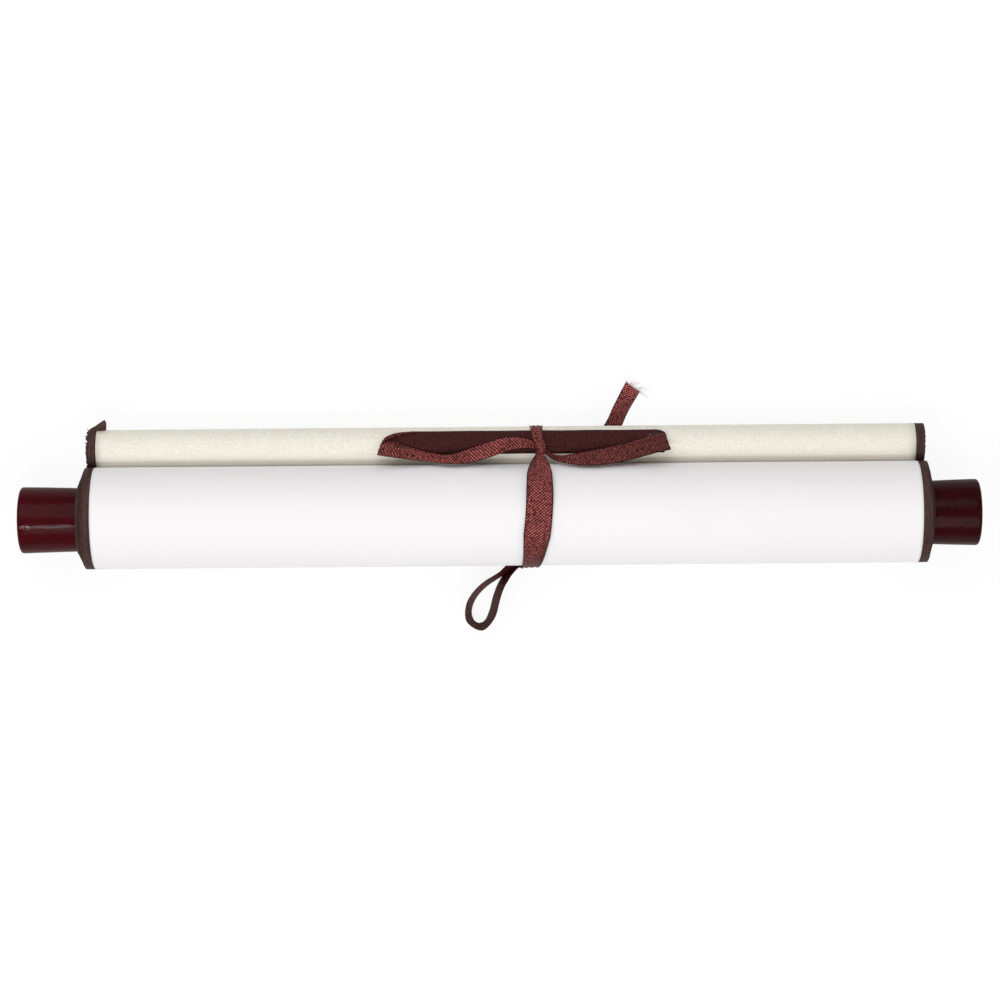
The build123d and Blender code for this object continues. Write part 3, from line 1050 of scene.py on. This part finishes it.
class SCROLL_OT_ribbon(bpy.types.Operator):
    """Lays the tie ribbon, its bow, its loose loop and its frayed end"""

    bl_idname = "scroll.ribbon"
    bl_label = "Tie ribbon"

    def execute(self, context):
        points = [tuple(c * MM for c in place) for place, width, side in RIBBON_ROUTE]
        line = smooth_line(points)
        widths = spread([width * MM for place, width, side in RIBBON_ROUTE], len(line))
        sideways = spread([side for place, width, side in RIBBON_ROUTE], len(line))
        places, tones = zip(*RIBBON_PAINTED_LIGHT)
        shades = np.interp(np.linspace(0, 1, len(line)), places, tones)
        ribbon = ribbon_strip(
            "tie_ribbon_band",
            line,
            widths,
            sideways,
            shades,
            fold_shade=self.fold_shade,
            node="tie_ribbon",
        )
        back = self.back_strand()
        # The tones along each bow strand are painted light: painted shade at the folds and by the knot,
        # painted highlight where they rise above 1.
        left = bow_strand("bow_left", LEFT_BOW, (0.7, 0.9, 0.7, 1.1, 1.0, 1.0, 1.2, 1.0, 0.8))
        right = bow_strand("bow_right", RIGHT_BOW, (0.6, 0.8, 0.9, 1.2, 1.1, 1.2, 0.9))
        turn = bow_strand("bow_left_turn", LEFT_TURN, (0.8, 1.2, 1.0))
        knot = self.knot()
        fringe = self.fringe(line, sideways)
        tuple(line[0])
        line_length(line)
        [tuple(p) for p in line]
        return {"FINISHED"}

    def fold_shade(self, place, t):
        """Painted shade on the two edges that fold under: by the knot, and where the roll falls away."""
        if not (-21 * MM < place.y < 24 * MM and place.z > 14 * MM):
            return 1.0
        by_knot = max(0.0, (place.y - 12 * MM) / (9 * MM))
        low_down = max(0.0, (-8 * MM - place.y) / (9 * MM))
        left = by_knot * max(0.0, min(1.0, (0.34 - t) / 0.10))
        right = low_down * max(0.0, min(1.0, (t - 0.70) / 0.10))
        return 1.0 - 0.6 * min(1.0, left + right)

    def back_strand(self):
        """The bow's rear strand, lying smooth over the stave's round front, painted dark all over as painted
        shade.
        """
        s = sizes()
        y, z = stave_centre()
        half_thickness = 0.14 * MM
        radius = s.stave_radius + s.silk_thickness + half_thickness + 0.08 * MM
        across, along = 15, 70
        start, stop = -43.4 * MM, 62.2 * MM
        points, uvs, rims = [], [], []
        for i in range(along):
            t = i / (along - 1)
            x = start + (stop - start) * t
            sway = noise.noise(Vector((t * 5, 0, 1))) * 0.05
            for face in (1, -1):
                left = max(0.0, (-33.0 * MM - x) / (11.0 * MM))
                right = max(0.0, (x - 59.5 * MM) / (3.1 * MM))
                for k in range(across):
                    u = k / (across - 1)
                    angle = math.radians(112 - (70 - 30 * left**1.3 - 12 * right**2) * u) + sway
                    r = radius + face * half_thickness
                    points.append((x, y + r * math.cos(angle), z + r * math.sin(angle)))
                    uvs.append((u * RIBBON_WIDTH, x - start))
                    rims.append(u)
        # Tone 0.10 over the whole strand: painted shade.
        return woven("bow_back", points, strip_faces(along, across), uvs, [0.10] * len(points), rims)

    def knot(self):
        """The knot: ribbon pulled tight round the crossing, with creases along it."""
        centre = Vector((15.6 * MM, 25.2 * MM, 23.2 * MM))
        rings, around = 20, 32
        points, uvs = [], []
        for i in range(rings + 1):
            v = i / rings
            polar = math.pi * v
            for k in range(around):
                u = k / around
                turn = 2 * math.pi * u
                crease = 1 + 0.10 * math.sin(5 * turn + 4 * v) + 0.06 * math.sin(11 * turn)
                body = math.sin(polar) ** 0.7
                x = 1.75 * body * math.cos(turn) * crease
                z = 1.7 * body * math.sin(turn) * crease
                y = 3.0 * math.cos(polar)
                points.append(centre + Vector((x, y - 0.15 * x, z)) * MM)
                uvs.append((v * RIBBON_WIDTH, u * RIBBON_WIDTH))
        count = len(points)
        faces = lathe_faces(rings + 1, around)
        return woven("ribbon_knot", points, faces, uvs, [0.85] * count, [0.5] * count, merge=1e-7)

    def fringe(self, line, sideways):
        """Pale broken threads at the ribbon's cut end."""
        tangent = (line[-1] - line[-2]).normalized()
        side = Vector(sideways[-1])
        side = (side - tangent * side.dot(tangent)).normalized()
        edge = [line[-1] + side * (t - 0.5) * 9.4 * MM - tangent * 0.3 * MM for t in np.linspace(0, 1, 8)]
        return loose_threads(
            "frayed_threads",
            edge,
            "wine_ribbon",
            "frayed_thread",
            Count=26,
            Length=0.0042,
            Turn=0.0,
        )


# ---------------------------------------------------------------- stage


class SCROLL_OT_stage(bpy.types.Operator):
    """Sets the camera, the lamps and the white table"""

    bl_idname = "scroll.stage"
    bl_label = "Stage"

    def execute(self, context):
        scene = context.scene
        camera = bpy.data.cameras.new("camera")
        camera.lens = 109.8
        camera.sensor_width = 36.0
        holder = bpy.data.objects.new("camera", camera)
        holder.location = (0.19 * MM, 5.37 * MM, roll_height() + 1.148)
        holder.rotation_euler = (0, 0, math.radians(-0.5))
        scene.collection.objects.link(holder)
        scene.camera = holder
        self.lamp("key", (0.10, -0.72, 1.0), 0.9, 4.6)
        self.lamp("fill", (-0.2, 0.7, 1.1), 1.2, 5.4)
        strip = self.lamp("strip", (-0.33, -0.47, 1.1), 0.12, 2.2)
        strip.shape = "RECTANGLE"
        strip.size_y = 0.035
        self.lamp("left_spark", (-0.75, -0.50, 1.0), 0.06, 0.7)
        self.lamp("right_spark", (1.60, -0.10, 0.95), 0.08, 1.6)
        self.world(scene)
        self.table()
        scene.view_settings.view_transform = "Standard"
        return {"FINISHED"}

    def lamp(self, name, place, size, power):
        light = bpy.data.lights.new(name, "AREA")
        light.shape = "DISK"
        light.size = size
        light.energy = power
        holder = bpy.data.objects.new(name, light)
        holder.location = place
        aim = Vector((0, 0, 0.02)) - Vector(place)
        holder.rotation_euler = aim.to_track_quat("-Z", "Y").to_euler()
        bpy.context.scene.collection.objects.link(holder)
        return light

    def world(self, scene):
        world = bpy.data.worlds.new("studio")
        world.use_nodes = True
        scene.world = world
        tree = world.node_tree
        light = tree.nodes["Background"]
        seen = tree.nodes.new("ShaderNodeBackground")
        for node, strength in ((light, 0.42), (seen, 1.0)):
            node.inputs["Color"].default_value = (1, 1, 1, 1)
            node.inputs["Strength"].default_value = strength
        mix = tree.nodes.new("ShaderNodeMixShader")
        path = tree.nodes.new("ShaderNodeLightPath")
        tree.links.new(path.outputs["Is Camera Ray"], mix.inputs[0])
        tree.links.new(light.outputs[0], mix.inputs[1])
        tree.links.new(seen.outputs[0], mix.inputs[2])
        tree.links.new(mix.outputs[0], tree.nodes["World Output"].inputs["Surface"])

    def table(self):
        mesh = bpy.data.meshes.new("table")
        half = 3.0
        corners = [(-half, -half, 0), (half, -half, 0), (half, half, 0), (-half, half, 0)]
        mesh.from_pydata(corners, [], [(0, 1, 2, 3)])
        table = bpy.data.objects.new("table", mesh)
        bpy.context.scene.collection.objects.link(table)
        finish = bpy.data.materials.new("white_table")
        finish.use_nodes = True
        tree = finish.node_tree
        shader = tree.nodes["Principled BSDF"]
        shader.inputs["Base Color"].default_value = (0.93, 0.93, 0.93, 1)
        shader.inputs["Roughness"].default_value = 0.9
        shader.inputs["Specular IOR Level"].default_value = 0.1
        glow = tree.nodes.new("ShaderNodeEmission")
        glow.inputs["Strength"].default_value = 1.02
        mix = tree.nodes.new("ShaderNodeMixShader")
        path = tree.nodes.new("ShaderNodeLightPath")
        share = tree.nodes.new("ShaderNodeMath")
        share.operation = "MULTIPLY"
        share.inputs[1].default_value = 0.87
        tree.links.new(path.outputs["Is Camera Ray"], share.inputs[0])
        tree.links.new(share.outputs[0], mix.inputs[0])
        tree.links.new(shader.outputs[0], mix.inputs[1])
        tree.links.new(glow.outputs[0], mix.inputs[2])
        tree.links.new(mix.outputs[0], tree.nodes["Material Output"].inputs["Surface"])
        mesh.materials.append(finish)


class SCROLL_PT_panel(bpy.types.Panel):
    bl_label = "Rolled scroll"
    bl_idname = "SCROLL_PT_panel"
    bl_space_type = "VIEW_3D"
    bl_region_type = "UI"
    bl_category = "Scroll"

    def draw(self, context):
        for group in (context.scene.scroll_sizes, context.scene.scroll_colours):
            for name in group.__annotations__:
                self.layout.prop(group, name)
        for operator in OPERATORS:
            self.layout.operator(operator.bl_idname)


OPERATORS = (SCROLL_OT_stage, SCROLL_OT_ribbon, SCROLL_OT_sheet, SCROLL_OT_stave, SCROLL_OT_knobs)
CLASSES = (ScrollSizes, ScrollColours, *OPERATORS, SCROLL_PT_panel)


def register():
    for kind in CLASSES:
        bpy.utils.register_class(kind)
    bpy.types.Scene.scroll_sizes = PointerProperty(type=ScrollSizes)
    bpy.types.Scene.scroll_colours = PointerProperty(type=ScrollColours)


def unregister():
    del bpy.types.Scene.scroll_sizes
    del bpy.types.Scene.scroll_colours
    for kind in reversed(CLASSES):
        bpy.utils.unregister_class(kind)


def main():
    register()
    bpy.ops.scroll.stage()
    bpy.ops.scroll.ribbon()
    bpy.ops.scroll.sheet()
    bpy.ops.scroll.stave()
    bpy.ops.scroll.knobs()


if __name__ == "__main__":
    main()
